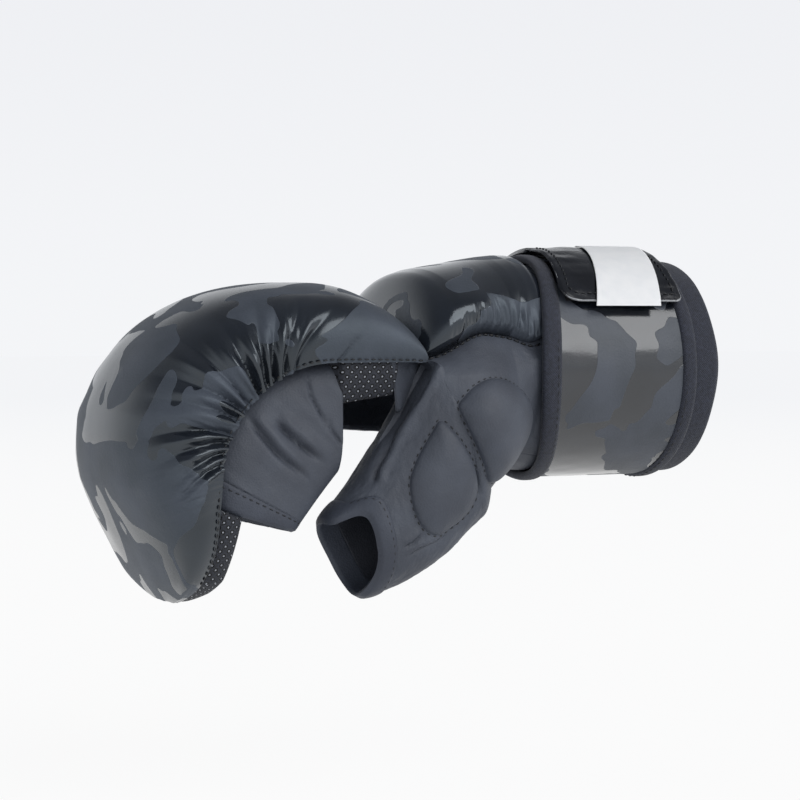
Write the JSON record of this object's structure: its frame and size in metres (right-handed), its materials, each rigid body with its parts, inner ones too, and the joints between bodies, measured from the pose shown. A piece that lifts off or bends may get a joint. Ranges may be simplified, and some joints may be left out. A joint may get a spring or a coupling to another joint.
{
  "type": "mma glove",
  "caption": "Right-hand padded sparring glove for mixed martial arts, with a gathered knuckle pad, open palm, finger sleeves, thumb sleeve and wrap-around wrist strap.",
  "frame": {"origin": "centre of the wrist opening, at the rear end of the cuff lining", "axes": "+X along the forearm and out of the wrist opening, fingers towards -X, +Z out of the back of the hand, thumb towards -Y"},
  "size_m": [0.2242, 0.1052, 0.1223],
  "materials": {
    "camo_leather": "semi-gloss with matte patches",
    "matte_leather": "matte",
    "gloss_leather": "gloss",
    "binding_fabric": "woven",
    "mesh_lining": "perforated mesh",
    "foam": "matte",
    "hook_loop_tape": "napped",
    "label_white": "satin"
  },
  "bodies": {
    "cuff": {"cuff_lining": "mesh_lining", "cuff_foam": "foam", "cuff_skin": "matte_leather", "cuff_rim_binding": "binding_fabric", "cuff_edge_binding": "binding_fabric", "strap_root": "camo_leather", "root_front_binding": "binding_fabric", "root_rear_binding": "binding_fabric", "loop_tape": "hook_loop_tape"},
    "strap": {"strap_wrap": "camo_leather", "wrap_front_binding": "binding_fabric", "wrap_rear_binding": "binding_fabric", "strap_patch": "gloss_leather"},
    "tab": {"tab_cover": "gloss_leather", "hook_tape": "hook_loop_tape", "tab_edging": "gloss_leather", "care_label": "label_white"},
    "hand": {"back_panel": "matte_leather", "thenar_panel": "matte_leather", "palm_panel": "matte_leather", "little_side_panel": "matte_leather", "back_pad_skin": "camo_leather", "back_pad_foam": "foam", "thenar_pad": "matte_leather"},
    "thumb": {"thumb_sleeve": "matte_leather", "thumb_inner_panel": "matte_leather", "thumb_hem": "matte_leather", "thumb_pad": "matte_leather"},
    "knuckles": {"knuckle_skin": "camo_leather", "knuckle_foam": "foam", "knuckle_lining": "mesh_lining", "knuckle_side_mesh": "mesh_lining", "index_sleeve": "matte_leather", "middle_sleeve": "matte_leather", "ring_sleeve": "matte_leather", "little_sleeve": "matte_leather", "index_hem": "matte_leather", "middle_hem": "matte_leather", "ring_hem": "matte_leather", "little_hem": "matte_leather"}
  },
  "joints": [
    {"name": "wrist_flex", "type": "hinge", "parent": "cuff", "child": "hand", "pos_m": [-0.059, 0, 0], "axis": [0, 1, 0], "range_deg": [-10, 8], "stiffness_Nm_per_rad": 6},
    {"name": "knuckle_flex", "type": "hinge", "parent": "hand", "child": "knuckles", "pos_m": [-0.1164, 0, 0.0083], "axis": [0, 1, 0], "range_deg": [0, 22], "stiffness_Nm_per_rad": 4},
    {"name": "thumb_open", "type": "hinge", "parent": "hand", "child": "thumb", "pos_m": [-0.103, -0.0495, -0.025], "axis": [-0.3584, 0, 0.9336], "range_deg": [0, 25], "stiffness_Nm_per_rad": 1.2},
    {"name": "strap_open", "type": "hinge", "parent": "cuff", "child": "strap", "pos_m": [-0.0345, 0.0204, -0.03533], "axis": [-1, 0, 0], "range_deg": [0, 90]},
    {"name": "tab_peel", "type": "hinge", "parent": "strap", "child": "tab", "pos_m": [-0.0345, 0.00153, 0.04367], "axis": [-1, 0, 0], "range_deg": [0, 72]}
  ],
  "couplings": [
    {"joint": "tab_peel", "follows": "strap_open", "ratio": 0.8}
  ]
}
